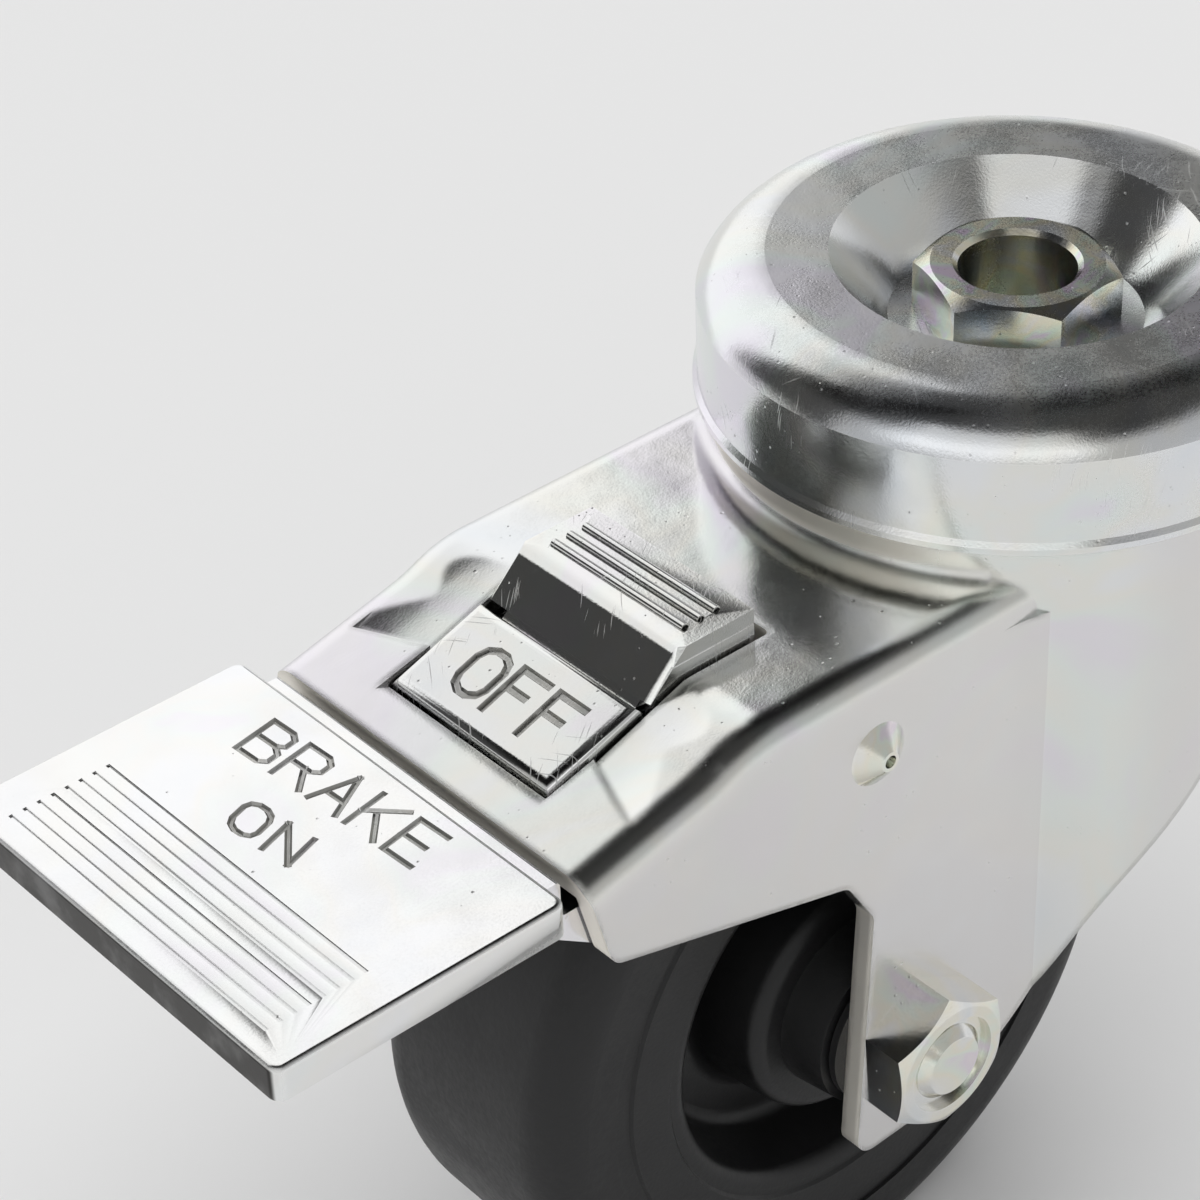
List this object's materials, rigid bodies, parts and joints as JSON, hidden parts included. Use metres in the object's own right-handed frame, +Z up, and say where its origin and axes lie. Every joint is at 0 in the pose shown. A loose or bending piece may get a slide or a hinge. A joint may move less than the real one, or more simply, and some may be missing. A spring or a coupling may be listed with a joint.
{
  "type": "locking castor",
  "caption": "Swivel castor with a bolt-hole head, pressed steel fork, black wheel, and a brake pedal with its release tread.",
  "frame": {"origin": "on the swivel axis, at the mouth of the bolt hole, 2 mm below the flat top ring of the cap", "axes": "+Z up along the swivel axis, -X towards the brake pedal, Y along the wheel's axle"},
  "size_m": [0.1354, 0.0608, 0.1005],
  "materials": {
    "zinc_plate": "bright zinc plate, satin on the flats",
    "bearing_steel": "polished",
    "black_rubber": "satin",
    "black_nylon": "satin",
    "bearing_nylon": "matt"
  },
  "bodies": {
    "head": {"swivel_cap": "zinc_plate", "king_bolt": "zinc_plate", "king_sleeve": "zinc_plate", "king_nut": "zinc_plate", "lower_race": "zinc_plate", "upper_balls": "bearing_steel", "upper_cage": "bearing_nylon", "lower_balls": "bearing_steel"},
    "fork": {"fork": "zinc_plate", "pivot_rivet_left": "zinc_plate", "pivot_rivet_right": "zinc_plate", "axle_bolt": "zinc_plate", "axle_nut": "zinc_plate", "axle_tube": "zinc_plate", "thrust_washer_left": "bearing_nylon", "thrust_washer_right": "bearing_nylon"},
    "wheel": {"tyre": "black_rubber", "wheel_core": "black_nylon", "hub_bush_left": "bearing_nylon", "hub_bush_right": "bearing_nylon"},
    "lever": {"brake_pedal": "zinc_plate", "brake_shoe": "black_rubber", "shoe_rivet_left": "zinc_plate", "shoe_rivet_right": "zinc_plate"},
    "release": {"release_tread": "zinc_plate"}
  },
  "joints": [
    {"name": "swivel", "type": "hinge", "parent": "head", "child": "fork", "pos_m": [0, 0, 0], "axis": [0, 0, 1], "continuous": true},
    {"name": "wheel_spin", "type": "hinge", "parent": "fork", "child": "wheel", "pos_m": [-0.0335, 0, -0.061], "axis": [0, 1, 0], "continuous": true},
    {"name": "brake_hinge", "type": "hinge", "parent": "fork", "child": "lever", "pos_m": [-0.039, 0, -0.024], "axis": [0, -1, 0], "range_deg": [0, 7]},
    {"name": "release_hinge", "type": "hinge", "parent": "fork", "child": "release", "pos_m": [-0.039, 0, -0.024], "axis": [0, -1, 0], "range_deg": [-5, 0]}
  ],
  "couplings": [
    {"joint": "release_hinge", "follows": "brake_hinge", "ratio": -0.7}
  ]
}
